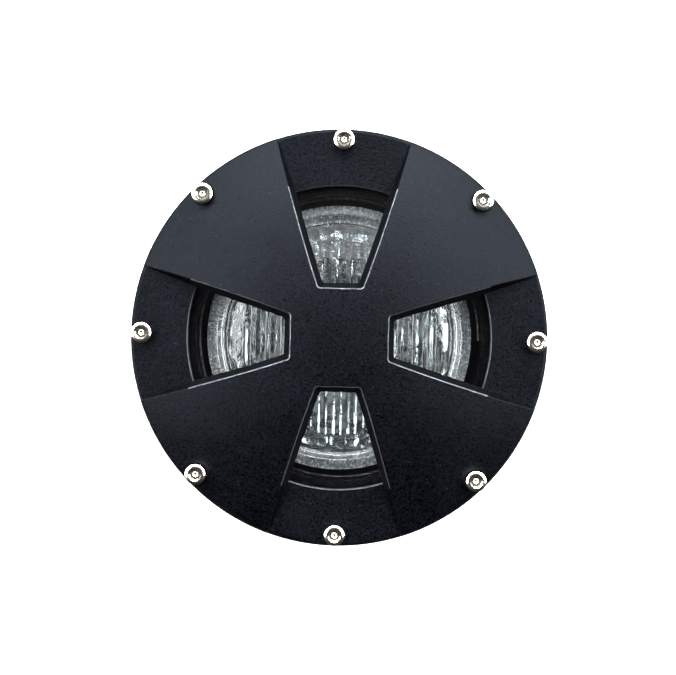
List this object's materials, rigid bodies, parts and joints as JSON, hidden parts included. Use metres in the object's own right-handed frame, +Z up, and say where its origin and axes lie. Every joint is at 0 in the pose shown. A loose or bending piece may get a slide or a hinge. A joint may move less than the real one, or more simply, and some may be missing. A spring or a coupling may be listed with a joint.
{
  "type": "underwater pond light",
  "caption": "Submersible pond light: round black cast head with a domed four-way rock guard over a sealed lamp, tilting in a steel yoke on a round base plate.",
  "frame": {"origin": "on the floor under the four rubber feet, at the middle of the base plate", "axes": "+Z up, which is also the way the lamp faces at rest; X is the tilt axis; the cable entry points to -Y"},
  "size_m": [0.175, 0.175, 0.157],
  "materials": {
    "black_casting": "textured black powder coat",
    "stainless": "bright machined stainless steel",
    "yoke_steel": "textured black powder coat",
    "base_steel": "textured black powder coat",
    "lens_glass": "clear polished tempered glass",
    "lamp_glass": "pressed fluted glass",
    "silvered": "aluminised reflector",
    "black_rubber": "matte black rubber",
    "silicone": "satin silicone",
    "nylon": "natural nylon",
    "black_plastic": "fine moulded grain",
    "brass": "turned brass, nickel plated",
    "ceramic": "unglazed steatite",
    "quartz": "clear quartz"
  },
  "bodies": {
    "base": {"base_plate": "base_steel", "base_feet": "black_rubber", "swivel_washer": "nylon", "swivel_screw": "stainless"},
    "yoke": {"yoke": "yoke_steel"},
    "head": {"housing": "black_casting", "grille_cover": "black_casting", "lens_gasket": "silicone", "glass_lens": "lens_glass", "cover_screws": "stainless", "lamp_ring": "black_rubber", "lamp_clip": "stainless", "lamp_glass": "lamp_glass", "lamp_reflector": "silvered", "lamp_burner": "quartz", "lamp_terminals": "brass", "terminal_block": "ceramic", "earth_screw": "brass", "gland_body": "brass", "gland_seal": "black_rubber", "gland_nut": "brass", "pivot_washer_left": "nylon", "pivot_washer_right": "nylon"},
    "left_knob": {"knob_stud_left": "stainless", "lock_knob_left": "black_plastic"},
    "right_knob": {"knob_stud_right": "stainless", "lock_knob_right": "black_plastic"}
  },
  "joints": [
    {"name": "yoke_swivel", "type": "hinge", "parent": "base", "child": "yoke", "pos_m": [0, 0, 0], "axis": [0, 0, 1], "range_deg": [-180, 180]},
    {"name": "head_tilt", "type": "hinge", "parent": "yoke", "child": "head", "pos_m": [0, 0, 0.11], "axis": [1, 0, 0], "range_deg": [-90, 90]},
    {"name": "left_knob_turn", "type": "hinge", "parent": "head", "child": "left_knob", "pos_m": [-0.08, 0, 0.11], "axis": [-1, 0, 0], "range_deg": [0, 360]},
    {"name": "right_knob_turn", "type": "hinge", "parent": "head", "child": "right_knob", "pos_m": [0.08, 0, 0.11], "axis": [1, 0, 0], "range_deg": [0, 360]}
  ]
}
